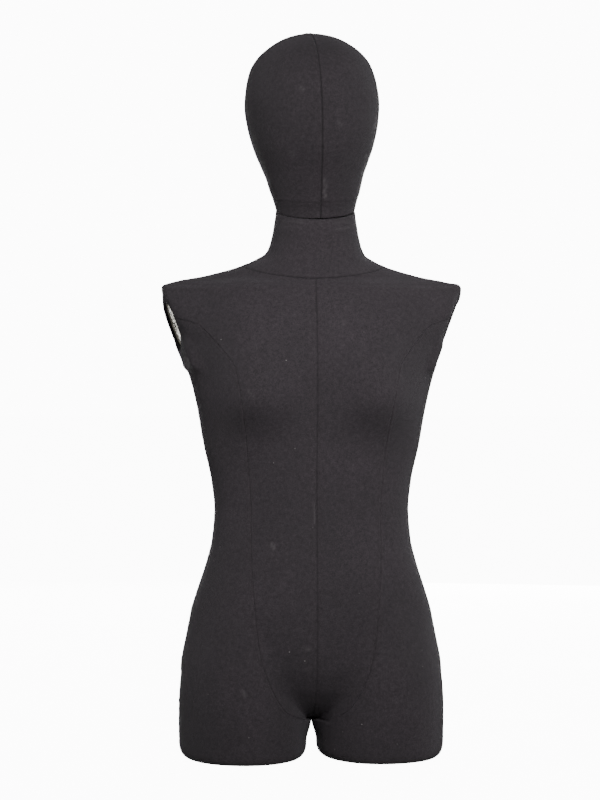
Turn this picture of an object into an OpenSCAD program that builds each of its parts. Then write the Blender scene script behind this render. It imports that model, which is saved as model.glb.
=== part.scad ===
// A display dress form: a torso from the neck to mid thigh and an egg-shaped head with no face,
// covered in stretch jersey. It stands on two thigh boards. The head turns on a pin and lifts off.
// The front faces -Y, the origin is on the floor under the middle, and +X is the form's left side.

/* [Torso] */
// Half width at the hips
hip_w = 167; // [140:1:190]
// Half width at the waist
waist_w = 125.5; // [105:0.5:150]
// Height of the waist
waist_z = 316; // [290:1:340]
// Half width at the bust
bust_w = 147; // [125:1:170]
// Half width of the shoulders before the armholes are cut
shoulder_w = 207; // [180:1:225]
// Height of the shoulder tips
shoulder_z = 600; // [580:1:620]
// Radius of the neck at its top
neck_r = 50.6; // [45:0.1:60]
// Height of the neck's top plane on the neck axis
neck_z = 704; // [690:1:720]
// Forward tilt of the neck's top plane and of the collar seam
neck_tilt = 17; // [0:1:25]
// How far the neck stands to the form's left
neck_shift = 5.5; // [-10:0.5:10]
// How far each breast stands out
bust_out = 27; // [0:1:40]
// Distance of each breast from the middle
bust_x = 84; // [70:1:100]
// Height of the bust points
bust_z = 462; // [440:1:480]
// How far each buttock stands out
seat_out = 9; // [0:1:20]

/* [Thighs] */
// Distance of each thigh's axis from the middle
thigh_x = 89; // [80:1:100]
// Half width of a thigh
thigh_a = 81.5; // [70:0.5:90]
// Half depth of a thigh
thigh_b = 100; // [80:1:110]
// Depth of each thigh's axis
thigh_y = -1; // [-10:1:10]
// Height where the thighs part
crotch_z = 47; // [30:1:80]

/* [Armholes] */
// Slope of an armhole against the vertical
arm_slope = 20; // [0:1:30]
// How far an armhole is turned to the front
arm_turn = 7; // [0:1:20]
// Half width at the top of an armhole's cut
arm_top_x = 191; // [180:1:205]
// Height of the top of an armhole's cut
arm_top_z = 602; // [590:1:610]
// Height where an armhole's cut ends
arm_foot_z = 510; // [500:1:530]
// Height of an armhole's centre
arm_z = 556; // [540:1:570]
// Half height of an arm plate
arm_a = 31; // [25:0.5:36]
// Half width of an arm plate
arm_b = 26; // [20:0.5:30]
// Thickness of an arm plate
arm_t = 2.5; // [1.5:0.1:4]
// Width of the raised bead round an armhole
bead_w = 5.5; // [3:0.5:7]
// Height of the bead above the body
bead_h = 6.6; // [2:0.2:8]
// Radius of an arm plate's centre bore
arm_bore_r = 5.2; // [4:0.1:8]
// Depth of the hole behind the bore
arm_hole_l = 24; // [12:1:30]
// Distance of an arm plate's screws from its centre
arm_screw_x = 20; // [14:1:24]

/* [Head] */
// Half width of the head
head_w = 86.4; // [75:0.1:95]
// Height of the crown
crown_z = 932; // [900:1:950]
// Sideways lean of the head and its pin
head_lean = 1.7; // [0:0.1:4]
// Turn of the head at rest
head_turn = 3; // [-20:1:20]
// Distance along the axis from the neck's top plane to the head's base plate
head_gap = 1.8; // [1.5:0.1:4]

/* [Jersey] */
// Thickness of the jersey
jersey_t = 0.8; // [0.5:0.1:1.5]
// Space between the jersey and what it covers
jersey_gap = 0.3; // [0.2:0.1:0.6]
// Space between two panels at a seam
seam_gap = 0.3; // [0.2:0.1:0.6]

/* [Fittings] */
// Radius of the head's pin
pin_r = 8; // [6:0.5:10]
// Length of the pin below the neck's top plane
pin_l = 60; // [40:1:80]
// Gap round the pin in its bush
pin_fit = 0.15; // [0.1:0.05:0.3]
// Wall of the bush
bush_wall = 3; // [2:0.5:4]
// Radius of the bush's flange
bush_flange_r = 15; // [13:0.5:18]
// Radius of the pin's head
pin_head_r = 15; // [11:0.5:18]
// Thickness of the pin's head
pin_head_t = 3; // [2:0.5:4]
// Thickness of the washer
washer_t = 1.1; // [0.8:0.1:1.4]
// Thickness of the neck's and the head's discs
disc_t = 6; // [4:0.5:8]
// Distance of the disc screws from the pin
disc_screw_at = 36; // [25:1:42]
// Thickness of a thigh board
cap_t = 6; // [4:0.5:9]
// Distance of a thigh board's edge from the thigh's
cap_inset = 12.5; // [8:0.5:20]
// Distance of a thigh board's screws from its centre
cap_screw_at = 56; // [40:1:62]
// Bore radius of the stand socket
socket_r = 12.6; // [10:0.1:16]
// Depth of the stand socket's bore
socket_l = 116; // [80:1:150]
// Wall of the stand socket
socket_wall = 2; // [1.5:0.5:3]
// Radius of the stand socket's flange
socket_flange_r = 26; // [20:1:32]
// Thickness of the stand socket's flange
socket_flange_t = 2.2; // [1.5:0.1:3]
// Length of a stand socket's screw
socket_screw_l = 12; // [8:1:16]
// Radius of a wood screw's shank
screw_r = 1.9; // [1.5:0.1:2.5]
// Length of a wood screw
screw_l = 20; // [12:1:30]
// Radius of a wood screw's head
screw_head_r = 3.8; // [3:0.1:5]
// Height of a wood screw's head
screw_head_h = 2.2; // [1.5:0.1:3]
// Gap round a screw in its hole
screw_fit = 0.2; // [0.1:0.05:0.4]

/* [Hidden] */
jersey_colour = "#2b282b";
foam_colour = "#c9bfa6";
steel_colour = "#b9b9bb";
chrome_colour = "#d8d4cc";
board_colour = "#8a6a45";
nylon_colour = "#e8e6df";
// How far a ray looks for the surface, and how many times it halves that
far = 260;
halvings = 22;
half_gap = seam_gap / 2;
bush_r = pin_r + pin_fit + bush_wall;
disc_r = neck_r - 1.8;
// Gaps under an arm plate, under an armhole's bead, and round the stand socket
plate_gap = 0.1;
rim_gap = 0.5;
// Height of the bush's top over the neck's top plane
bush_top = 0.3;
socket_gap = 0.3;

// Sections of the torso from the crotch up: height on the axis, half width, depth to the front,
// depth to the back, exponent of the outline, and the depth of the widest line
body_stations = [
    [crotch_z - 6, 1, 1, 1, 2, 6],
    [crotch_z, 18, 8, 10, 2, 6],
    [crotch_z + 6, 60, 24, 30, 2, 6],
    [crotch_z + 16, 104, 46, 54, 2.1, 6],
    [crotch_z + 30, 136, 66, 78, 2.2, 6],
    [crotch_z + 48, 155, 82, 96, 2.2, 6],
    [121, hip_w - 3, 93, 106, 2.25, 6],
    [150, hip_w - 5.5, 97, 109, 2.3, 5],
    [183, hip_w - 11, 98, 104, 2.3, 3],
    [215, hip_w - 20.5, 97, 93, 2.25, 1],
    [246, waist_w + 11, 94, 81, 2.2, -1],
    [280, waist_w + 2.6, 90, 73, 2.2, -3],
    [waist_z, waist_w, 87, 72, 2.2, -4],
    [355, waist_w + 3.5, 88, 76, 2.2, -4],
    [402, bust_w - 8, 91, 82, 2.25, -4],
    [448, bust_w, 96, 86, 2.3, -4],
    [495, bust_w + 12, 98, 89, 2.3, -2],
    [512, bust_w + 19, 97, 90, 2.3, -1],
    [530, shoulder_w - 34, 94, 90, 2.25, 0],
    [558, shoulder_w - 13, 88, 90, 2.05, 2],
    [584, shoulder_w - 1, 80, 87, 1.75, 4],
    [shoulder_z, shoulder_w - 2, 75, 85, 1.5, 5],
    [shoulder_z + 9, 184, 71, 82, 1.4, 5],
    [620, 132, 68, 77, 1.4, 5],
    [628, 100, 66, 72, 1.55, 4],
    [636, 79, 63.5, 66, 1.75, 2],
    [644, 66, 60, 61, 1.9, 0],
    [652, 61, 57, 57.5, 2, -1],
    [667, 56.6, 54, 53.5, 2, -2],
    [687, 53, 52.4, 49.7, 2, -2],
    [neck_z, neck_r, neck_r * cos(neck_tilt) + 2, neck_r * cos(neck_tilt) - 2, 2, -2]
];
// Sections of a thigh: height, half width and half depth
thigh_stations = [
    [0, thigh_a - 8.5, thigh_b - 5.5],
    [2, thigh_a - 5, thigh_b - 3],
    [cap_t, thigh_a - 2.2, thigh_b - 1],
    [11, thigh_a - 0.6, thigh_b - 0.3],
    [18, thigh_a, thigh_b],
    [60, thigh_a + 0.5, thigh_b + 1],
    [92, thigh_a - 1, thigh_b],
    [121, thigh_a - 5, thigh_b - 3],
    [150, thigh_a - 14, thigh_b - 10],
    [190, thigh_a - 34, thigh_b - 26],
    [206, thigh_a - 48, thigh_b - 42]
];
thigh_round = 2.1;
// Where the rays of a section start: height, distance from the middle and depth
centre_stations = [
    [0, thigh_x, 3], [120, thigh_x, 5], [160, 80, 5], [246, 66, -3], [waist_z, 60, -6],
    [448, 72, -4], [560, 90, 1], [shoulder_z, 92, 4], [620, 62, 4], [636, 40, 2],
    [652, 29, 0], [neck_z, 24, -2]
];
// The princess seams: height and distance from the middle, in front and at the back
princess_stations = [
    [crotch_z, 4, 4], [53, 18, 16], [66, 40, 34], [101, 60, 54], [134, 71, 66], [179, 77, 74],
    [270, 82, 72], [waist_z, 82, 66], [355, 84, 66], [400, 88, 72], [459, 96, 82],
    [500, 104, 92], [524, 120, 108], [545, 138, 128], [560, 152, 146],
    [590, 166, 164], [shoulder_z + 4, 164, 162], [612, 122, 120],
    [620, 90, 90], [636, 55, 55], [652, 42, 42], [neck_z, 34, 34]
];
// Heights of the sections on the body's axis. The rows above the armhole tilt with the neck.
// The first row is the jersey's hem; the core starts at row core_row.
row_z = [
    1.2, 2.6, cap_t + 0.4, 11, 18, 32, crotch_z - 4, crotch_z + 3, crotch_z + 10, crotch_z + 20,
    crotch_z + 33, 100, 124, 150, 180, 212, 246, 282, waist_z, 350, 382, 410, 432, 450, 466,
    484, 510, 526, 545, 561, 577, 589, shoulder_z - 2, shoulder_z + 4, 609, 614, 620, 628,
    637, 645, 654, 668, 684, neck_z - disc_t - 0.6, neck_z - 0.4
];
rows = len(row_z);
core_row = 2;
crotch_row = 7;
armhole_row = 30;
collar_row = 38;
core_top_row = rows - 2;
// Columns round a half section: the middle of the inner thigh, the front centre line, the front
// princess seam, the side seam, the back princess seam and the back centre line
col_front = 2;
col_princess = 8;
col_side = 14;
col_back_princess = 20;
col_back = 26;
cols = 28;
// The least angle of the front and back centre lines and of the princess seams
least_front = 9;
least_princess = 20;
axis_y = -2;
// The princess seams run into the armhole at this angle, between the first two heights, and leave
// it between the last two
armhole_seam_angle = 167;
armhole_seam_z = [553, 573, 594, 608];
// How far above the shoulder tips the rows have their full tilt, and the neck its full shift
tilt_rise = 37;
shift_rise = 55;

// The slope of a curve at station i, which keeps it from passing its stations
function secant(t, i, k) = (t[i + 1][k] - t[i][k]) / (t[i + 1][0] - t[i][0]);
function slope(t, i, k) =
    i == 0 ? secant(t, 0, k)
    : i == len(t) - 1 ? secant(t, i - 1, k)
    : let (a = secant(t, i - 1, k), b = secant(t, i, k)) a * b <= 0 ? 0 : 2 * a * b / (a + b);
function span_at(t, z, i = 0) = i >= len(t) - 2 || z < t[i + 1][0] ? i : span_at(t, z, i + 1);
// Column k of table t at height z
function at(t, z, k) =
    let (
        i = span_at(t, z),
        h = t[i + 1][0] - t[i][0],
        u = max(0, min(1, (z - t[i][0]) / h)),
        v = 1 - u
    )
    t[i][k] * v * v * (1 + 2 * u) + t[i + 1][k] * u * u * (3 - 2 * u)
    + h * u * v * (v * slope(t, i, k) - u * slope(t, i + 1, k));
function all_at(t, z) = [for (k = [1 : len(t[0]) - 1]) at(t, z, k)];

function ease(u) = let (v = max(0, min(1, u))) v * v * (3 - 2 * v);
function blend(a, b, k) = let (h = max(0, k - abs(a - b)) / k) min(a, b) - h * h * k / 4;
function bell(x, r) = exp(-x * x / (r * r));
// The distance of [x, y] outside an oval, measured from its centre
function oval(x, y, a, b, n) =
    let (q = pow(pow(abs(x / a), n) + pow(abs(y / b), n), 1 / n))
    q < 0.001 ? -min(a, b) : norm([x, y]) * (1 - 1 / q);

// How far a breast's swell reaches sideways, up and down, and how far a buttock's does
breast_reach = [47, 66, 40];
seat_reach = [50, 52];
seat_x = 68;
seat_z = 138;
// The swells fade over this depth on each side of the widest line
swell_fade = 45;
// Sections take the thighs' shape below this height
thigh_top_z = 200;
// How softly the thighs join the torso, and the torso the armholes
thigh_blend = 13;
arm_blend = 5;
function breast(x, z) =
    bust_out * bell(x - bust_x, breast_reach[0])
    * bell(z - bust_z, breast_reach[z > bust_z ? 1 : 2]);
function buttock(x, z) = seat_out * bell(x - seat_x, seat_reach[0]) * bell(z - seat_z, seat_reach[1]);
// The distance of a point outside the armhole's plane, which ends under the armhole
arm_normal = [
    cos(arm_slope) * cos(arm_turn), -cos(arm_slope) * sin(arm_turn), -sin(arm_slope)
];
arm_offset = arm_normal * [arm_top_x, 0, arm_top_z];
function outside_armhole(p) = arm_normal * p - arm_offset - max(0, arm_foot_z - p[2]);

// The distance of a point outside the body, in a row whose torso and thigh sections are b and t
function outside(p, b, t, z) =
    let (
        y = p[1] - b[4],
        front = ease(-y / swell_fade),
        back = ease(y / swell_fade),
        yy = y + front * breast(p[0], z) - back * buttock(p[0], z),
        under = 3 * max(0, crotch_z - z),
        torso = under + oval(p[0], yy, b[0], yy < 0 ? b[1] + b[4] : b[2] - b[4], b[3]),
        thigh = oval(p[0] - thigh_x, p[1] - thigh_y, t[0], t[1], thigh_round),
        body = z > thigh_top_z ? torso : blend(torso, thigh, thigh_blend)
    )
    -blend(-body, -outside_armhole(p), arm_blend);

// Shifts the neck. s is 1 on the form's left half and -1 on its right.
function sway(g, s) = [
    for (r = g)
        [for (p = r) p + [s * neck_shift * ease((p[2] - shoulder_z) / shift_rise), 0, 0]]
];
function tilt_at(z) = neck_tilt * ease((z - shoulder_z) / tilt_rise);
function on_row(x, y, zr) = [x, y, zr + tan(tilt_at(zr)) * (y - axis_y)];
function root(f, lo, hi, n) =
    n == 0 ? hi : let (m = (lo + hi) / 2) f(m) > 0 ? root(f, lo, m, n - 1) : root(f, m, hi, n - 1);

// The distance from the ray's start to the surface, in direction angle, which runs from the
// middle (0) through the front (90) and the side (180) to the back (270)
function ray(c, angle, b, t, zr) =
    let (
        d = [-cos(angle), -sin(angle)],
        wall = d[0] < -0.001 ? (c[0] - half_gap) / -d[0] : far,
        f = function (r) outside(on_row(c[0] + r * d[0], c[1] + r * d[1], zr), b, t, zr)
    )
    min(wall, root(f, 0, far, halvings));
// The angle of the surface point at distance x from the middle, in front (s = -1) or behind
function angle_at(x, s, c, b, t, zr) =
    let (
        inside = outside(on_row(x, c[1], zr), b, t, zr) < 0,
        f = function (r) outside(on_row(x, c[1] + s * r, zr), b, t, zr),
        r = inside ? root(f, 0, far, halvings) : 0
    )
    atan2(r, c[0] - x);
// The angle of column j, between the columns whose angles are marked
function spread(marks, j, i = 0) =
    let (a = marks[i], b = marks[i + 1])
    j <= b[0] ? a[1] + (b[1] - a[1]) * (j - a[0]) / (b[0] - a[0]) : spread(marks, j, i + 1);
function between(z, z0, z1) = ease((z - z0) / (z1 - z0));

function section(zr) =
    let (
        b = all_at(body_stations, zr),
        t = all_at(thigh_stations, zr),
        c = all_at(centre_stations, zr),
        seam = all_at(princess_stations, zr),
        front = max(least_front, angle_at(half_gap, -1, c, b, t, zr)),
        turn = armhole_seam_z,
        in_armhole = between(zr, turn[0], turn[1]) * (1 - between(zr, turn[2], turn[3])),
        towards_armhole = function (a) a + (armhole_seam_angle - a) * in_armhole,
        princess = towards_armhole(max(least_princess, angle_at(seam[0], -1, c, b, t, zr))),
        back_princess = 360 - towards_armhole(max(least_princess, angle_at(seam[1], 1, c, b, t, zr))),
        back = 360 - max(least_front, angle_at(half_gap, 1, c, b, t, zr)),
        marks = [
            [0, 0], [col_front, front], [col_princess, princess], [col_side, 180],
            [col_back_princess, back_princess], [col_back, back], [cols, 360]
        ]
    )
    [
        for (j = [0 : cols - 1])
            let (a = spread(marks, j), r = ray(c, a, b, t, zr))
            on_row(c[0] - r * cos(a), c[1] - r * sin(a), zr)
    ];
grid = [for (z = row_z) section(z)];

function unit(v) = v / norm(v);
function ring(j) = (j + cols) % cols;
// The direction out of the surface at a grid point. On the middle plane it keeps to that plane.
function out_of(g, i, j) =
    let (
        up = g[min(i + 1, rows - 1)][j] - g[max(i - 1, 0)][j],
        on_middle = g[i][j][0] <= half_gap + 0.01,
        forward = g[i][j][1] < 0 ? 1 : -1,
        across = on_middle ? [forward, 0, 0] : g[i][ring(j + 1)] - g[i][ring(j - 1)]
    )
    unit(cross(across, up));

normals = [for (i = [0 : rows - 1]) [for (j = [0 : cols - 1]) out_of(grid, i, j)]];

// A closed solid from rings of points, with a flat lid on each end
module lofted(rings) {
    n = len(rings[0]);
    m = len(rings);
    points = [for (r = rings) each r];
    sides = [
        for (i = [0 : m - 2], j = [0 : n - 1])
            let (k = (j + 1) % n)
            each [
                [i * n + j, (i + 1) * n + j, (i + 1) * n + k],
                [i * n + j, (i + 1) * n + k, i * n + k]
            ]
    ];
    lid_low = [[for (j = [0 : n - 1]) j]];
    lid_high = [[for (j = [n - 1 : -1 : 0]) (m - 1) * n + j]];
    polyhedron(points, concat(sides, lid_low, lid_high), convexity = 6);
}

// A sheet over the cells of a grid for which has(i, j) is true. Its two faces are the grids low
// and high, whose columns close on themselves.
module sheet(low, high, has) {
    m = len(low);
    n = len(low[0]);
    all = m * n;
    function cell(i, j) = i >= 0 && i < m - 1 && has(i, (j + n) % n);
    function wall(a, b) = [[a, b, b + all], [a, b + all, a + all]];
    faces = [
        for (i = [0 : m - 2], j = [0 : n - 1])
            if (has(i, j))
                let (
                    k = (j + 1) % n,
                    a = i * n + j, b = (i + 1) * n + j, c = (i + 1) * n + k, d = i * n + k
                )
                each concat(
                    [[a, c, b], [a, d, c], [a + all, b + all, c + all], [a + all, c + all, d + all]],
                    cell(i, j - 1) ? [] : wall(a, b),
                    cell(i, j + 1) ? [] : wall(c, d),
                    cell(i + 1, j) ? [] : wall(b, c),
                    cell(i - 1, j) ? [] : wall(d, a)
                )
    ];
    polyhedron([for (r = concat(low, high)) each r], faces, convexity = 6);
}

// Sets a group of children on an armhole: +Z out of it, +X down its slope, on the side's half
module on_armhole() {
    x = (arm_offset - arm_normal[2] * arm_z) / arm_normal[0];
    translate([x, 0, arm_z]) rotate([0, 90 + arm_slope, -arm_turn]) children();
}

// A plate of half length a along X and half width b along Y, round at both ends
module oblong(a, b) {
    for (x = [-1, 1]) translate([x * (a - b), 0]) circle(r = b, $fn = 72);
    square([2 * (a - b), 2 * b], center = true);
}

// Makes one mesh of its children
module meshed() {
    resize([0, 0, 0]) children();
}

module side(s) {
    if (s < 0) mirror([1, 0, 0]) children();
    else children();
}

// Sets children on the neck's top plane, with the origin on the neck axis
module on_neck() {
    translate([neck_shift, axis_y, neck_z]) rotate([neck_tilt, 0, 0]) children();
}
// Sets children on the head's pin, which leans from the neck's axis
module on_pin() {
    on_neck() rotate([0, -head_lean, 0]) children();
}
module rod(r, z0, z1, faces = 48) {
    translate([0, 0, z0]) cylinder(r = r, h = z1 - z0, $fn = faces);
}
module round_array(n, r, first = 0) {
    for (i = [0 : n - 1]) rotate([0, 0, first + i * 360 / n]) translate([r, 0, 0]) children();
}
// A countersunk wood screw that points down -Z, with its head's top at z = 0
module screw(l = screw_l) {
    edge = 0.3;
    point = 3;
    rotate_extrude($fn = 36) polygon([
        [0, 0], [screw_head_r, 0], [screw_head_r, -edge], [screw_r, -screw_head_h],
        [screw_r, point - l], [0, -l]
    ]);
}
// A countersunk hole through a thickness t
module screw_hole(t) {
    edge = 0.4;
    rotate_extrude($fn = 36) polygon([
        [0, 1], [screw_head_r + screw_fit, 1], [screw_head_r + screw_fit, -edge],
        [screw_r + screw_fit, -screw_head_h - screw_fit], [screw_r + screw_fit, -t - 1], [0, -t - 1]
    ]);
}
// The hole that a screw makes in foam
module pilot(l = screw_l) {
    rod(screw_r + screw_fit, -l - 0.5, 1, 12);
}

module neck_screws_at() {
    on_neck() round_array(3, disc_screw_at, 90) children();
}
module arm_screws_at() {
    for (x = [-arm_screw_x, arm_screw_x])
        on_armhole() translate([x, 0, arm_t + plate_gap]) children();
}
module on_thigh() {
    translate([thigh_x, thigh_y, 0]) children();
}
module cap_screws_at() {
    on_thigh() round_array(3, cap_screw_at, 90) mirror([0, 0, 1]) children();
}
module socket_screws_at() {
    on_thigh() round_array(3, socket_flange_r - 6, 30) mirror([0, 0, 1]) children();
}

module body_core(s) {
    room = 8;
    color(foam_colour) side(s) meshed() difference() {
        lofted(sway([for (i = [core_row : core_top_row]) grid[i]], s));
        side(s) on_pin() {
            rod(bush_r + 0.4, -pin_l - room, room);
            rod(bush_flange_r + 1, -disc_t - 1, room);
        }
        side(s) neck_screws_at() pilot();
        arm_screws_at() pilot();
        on_armhole() rod(arm_bore_r + 1, -arm_hole_l, 1);
        cap_screws_at() pilot();
        if (s > 0) {
            on_thigh() rod(socket_r + socket_wall + 0.4, 0, socket_l + room);
            socket_screws_at() pilot(socket_screw_l);
        }
    }
}

// The two faces of the jersey over the body, and what each panel covers
function lifted(d) = [
    for (i = [0 : rows - 1]) [for (j = [0 : cols - 1]) grid[i][j] + d * normals[i][j]]
];
jersey_low = lifted(jersey_gap);
jersey_high = lifted(jersey_gap + jersey_t);
// Draws the end columns of a panel in from its seams. A panel's ends are columns first and last.
function drawn_in(g, first, last) = [
    for (r = g) [
        for (j = [0 : cols - 1])
            j == ring(first) ? r[j] + half_gap * unit(r[ring(first + 1)] - r[j])
            : j == ring(last) ? r[j] + half_gap * unit(r[ring(last - 1)] - r[j])
            : r[j]
    ]
];
module panel(s, first, last, has) {
    low = sway(drawn_in(jersey_low, first, last), s);
    high = sway(drawn_in(jersey_high, first, last), s);
    hem = bead_w + 0.8;
    side(s) meshed() difference() {
        sheet(low, high, has);
        on_armhole() translate([0, 0, -6]) linear_extrude(30) oblong(arm_a + hem, arm_b + hem);
    }
}
module cover_front_centre(s) {
    color(jersey_colour) panel(s, col_front, col_princess, function (i, j)
        i >= crotch_row && i < collar_row && j >= col_front
        && j < (i >= armhole_row ? col_side : col_princess));
}
module cover_back_centre(s) {
    color(jersey_colour) panel(s, col_back_princess, col_back, function (i, j)
        i >= crotch_row && i < collar_row && j < col_back
        && j >= (i >= armhole_row ? col_side : col_back_princess));
}
module cover_front_side(s) {
    color(jersey_colour) panel(s, col_princess, col_side, function (i, j)
        i < armhole_row && j < col_side && (i < crotch_row || j >= col_princess));
}
module cover_back_side(s) {
    color(jersey_colour) panel(s, col_side, col_back_princess, function (i, j)
        i < armhole_row && j >= col_side && (i < crotch_row || j < col_back_princess));
}
module collar_cover(s) {
    color(jersey_colour) panel(s, col_front, col_back, function (i, j)
        i >= collar_row && j >= col_front && j < col_back);
}

// A half-round bead along an oval, flat on the armhole's plane
module armhole_rim(s) {
    turns = 44;
    w = bead_w;
    h = bead_h;
    profile = [
        [0, rim_gap], [0, 0.6 * h], [0.24 * w, 0.91 * h], [w / 2, h], [0.76 * w, 0.91 * h],
        [w, 0.6 * h], [w, rim_gap]
    ];
    n = len(profile);
    function on_oval(r, a, z) =
        [r * cos(a) + (arm_a - arm_b) * max(-1, min(1, 4 * cos(a))), r * sin(a), z];
    points = [
        for (k = [0 : turns - 1], p = profile) on_oval(arm_b + 0.4 + p[0], 360 * k / turns, p[1])
    ];
    faces = [
        for (k = [0 : turns - 1], j = [0 : n - 1])
            let (
                m = (k + 1) % turns, i = (j + 1) % n,
                a = k * n + j, b = k * n + i, c = m * n + i, d = m * n + j
            )
            each [[a, c, b], [a, d, c]]
    ];
    color(jersey_colour) side(s) on_armhole() polyhedron(points, faces, convexity = 4);
}
module arm_plate(s) {
    color(chrome_colour) side(s) difference() {
        on_armhole() translate([0, 0, plate_gap]) linear_extrude(arm_t) oblong(arm_a, arm_b);
        on_armhole() rod(arm_bore_r, -1, arm_t + 1);
        arm_screws_at() screw_hole(arm_t);
    }
}
module arm_plate_screws() {
    color(steel_colour) for (s = [-1, 1]) side(s) arm_screws_at() screw();
}

module neck_plate() {
    recess = 2.6;
    color(board_colour) difference() {
        on_neck() rod(disc_r, -disc_t, 0, 96);
        on_pin() {
            rod(bush_r + 0.5, -disc_t - 2, 2);
            rod(bush_flange_r + 0.6, -recess, 2);
        }
        neck_screws_at() screw_hole(disc_t);
    }
}
module neck_plate_screws() {
    color(steel_colour) neck_screws_at() screw();
}
module neck_bush() {
    low = -pin_l - 4;
    color(steel_colour) on_pin() rotate_extrude($fn = 72) polygon([
        [pin_r + pin_fit, low], [bush_r, low], [bush_r, -2], [bush_flange_r, -2],
        [bush_flange_r, bush_top], [pin_r + pin_fit, bush_top]
    ]);
}
module neck_washer() {
    color(nylon_colour) on_pin() difference() {
        rod(bush_flange_r - 1, bush_top + 0.15, bush_top + 0.15 + washer_t, 72);
        rod(pin_r + 0.5, 0, head_gap + 1, 72);
    }
}

module thigh_cap(s) {
    color(board_colour) side(s) difference() {
        on_thigh() rotate([0, 0, 90]) linear_extrude(cap_t)
            oblong(thigh_b - cap_inset, thigh_a - cap_inset);
        cap_screws_at() screw_hole(cap_t);
        if (s > 0) on_thigh() {
            rod(socket_r + socket_wall + screw_fit, -1, cap_t + 1);
            rod(socket_flange_r + socket_gap, -1, socket_flange_t + 0.4);
        }
        if (s > 0) socket_screws_at() rod(screw_r + screw_fit, -cap_t - 1, 1, 24);
    }
}
module thigh_cap_screws() {
    color(steel_colour) for (s = [-1, 1]) side(s) cap_screws_at() translate([0, 0, -0.2]) screw();
}
module stand_socket() {
    wall = socket_r + socket_wall;
    bottom = socket_gap;
    flange = socket_gap + socket_flange_t;
    bore = socket_gap + socket_l;
    color(steel_colour) difference() {
        on_thigh() rotate_extrude($fn = 72) polygon([
            [0, bore + socket_wall], [wall, bore + socket_wall], [wall, flange],
            [socket_flange_r, flange], [socket_flange_r, bottom], [socket_r, bottom],
            [socket_r, bore], [0, bore]
        ]);
        socket_screws_at() translate([0, 0, -0.4]) screw_hole(4);
    }
}
module stand_socket_screws() {
    color(steel_colour) socket_screws_at() translate([0, 0, -0.6]) screw(socket_screw_l);
}

// Sections of the head: height on the neck's axis, half width, depth to the front and to the back
head_stations = [
    [neck_z, neck_r, neck_r * cos(neck_tilt) + 2, neck_r * cos(neck_tilt) - 2],
    [neck_z + 9, 52.8, 53.5, 47], [neck_z + 18, 55.2, 58.5, 48.5], [733, 58.8, 66.5, 52.5],
    [745, 62, 76, 59], [760, 68, 87, 66], [784, 77, 99.5, 76], [815, 84.2, 108, 86],
    [838, head_w, 110, 90], [862, head_w - 2.4, 106, 86],
    [885, head_w - 8.5, 95, 76], [901, 67.6, 81, 63], [914, 52.5, 63, 46],
    [923, 36.5, 44, 28], [929, 19, 24, 9], [crown_z, 5, 8, -2]
];
head_row_z = [
    neck_z + 0.3, neck_z + disc_t + 0.5, 717, 722, 727, 733, 741, 752, 768, 786, 806, 826, 846,
    864, 880, 893, 903, 912, 919, 925, 929.5, crown_z
];
head_rows = len(head_row_z);
head_cols = 36;
head_round = 2.05;
// The head's rows tilt with the neck at first, and lie level above
function head_tilt(z) = neck_tilt * (1 - ease((z - neck_z - 4) / 50));
function head_section(z) =
    let (s = all_at(head_stations, z), mid = (s[2] - s[1]) / 2, depth = (s[1] + s[2]) / 2)
    [
        for (j = [0 : head_cols - 1])
            let (
                a = 360 * j / head_cols,
                q = pow(pow(abs(sin(a)), head_round) + pow(abs(cos(a)), head_round), -1 / head_round),
                y = mid - depth * q * cos(a)
            )
            [s[0] * q * sin(a), y, z + tan(head_tilt(z)) * (y - axis_y)]
    ];
head_grid = [for (z = head_row_z) head_section(z)];
function head_out(i, j) =
    let (
        n = head_cols,
        g = head_grid,
        up = g[min(i + 1, head_rows - 1)][j] - g[max(i - 1, 0)][j],
        across = g[i][(j + 1) % n] - g[i][(j + n - 1) % n]
    )
    unit(cross(across, up));
head_normals = [for (i = [0 : head_rows - 1]) [for (j = [0 : head_cols - 1]) head_out(i, j)]];
function head_lifted(d) = [
    for (i = [0 : head_rows - 1])
        [for (j = [0 : head_cols - 1]) head_grid[i][j] + d * head_normals[i][j]]
];

// Sets what is drawn upright over the neck on the leaning pin, turned to the head's rest position
module on_head() {
    on_pin() rotate([0, 0, head_turn]) rotate([-neck_tilt, 0, 0])
        translate([0, -axis_y, -neck_z]) children();
}
module head_screws_at() {
    on_pin() rotate([0, 0, head_turn]) translate([0, 0, head_gap])
        round_array(3, disc_screw_at, 30) mirror([0, 0, 1]) children();
}
module head_core() {
    color(foam_colour) meshed() difference() {
        on_head() translate([0, 0, head_gap]) lofted([for (i = [1 : head_rows - 1]) head_grid[i]]);
        on_pin() rod(pin_head_r + 0.5, 0, head_gap + disc_t + pin_head_t + 1);
        head_screws_at() pilot();
    }
}
// One half of the head's jersey, drawn in from the seam over the middle of the face and the back
module head_cover(s) {
    half = head_cols / 2;
    function mine(j) = s > 0 ? j < half : j >= half;
    function inward(g) = [
        for (r = g) [for (p = r) abs(p[0]) < half_gap ? [s * half_gap, p[1], p[2]] : p]
    ];
    color(jersey_colour) on_head() translate([0, 0, head_gap])
        sheet(inward(head_lifted(jersey_gap)), inward(head_lifted(jersey_gap + jersey_t)),
            function (i, j) mine(j));
}
module head_base_plate() {
    color(board_colour) difference() {
        on_pin() rod(disc_r - 1, head_gap, head_gap + disc_t, 96);
        on_pin() rod(pin_r, 0, head_gap + disc_t + 1, 72);
        head_screws_at() screw_hole(disc_t);
    }
}
module head_pin() {
    top = head_gap + disc_t;
    bevel = 1;
    color(steel_colour) on_pin() rotate_extrude($fn = 72) polygon([
        [0, -pin_l], [pin_r - bevel, -pin_l], [pin_r, bevel - pin_l], [pin_r, top],
        [pin_head_r, top], [pin_head_r, top + pin_head_t], [0, top + pin_head_t]
    ]);
}
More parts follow.
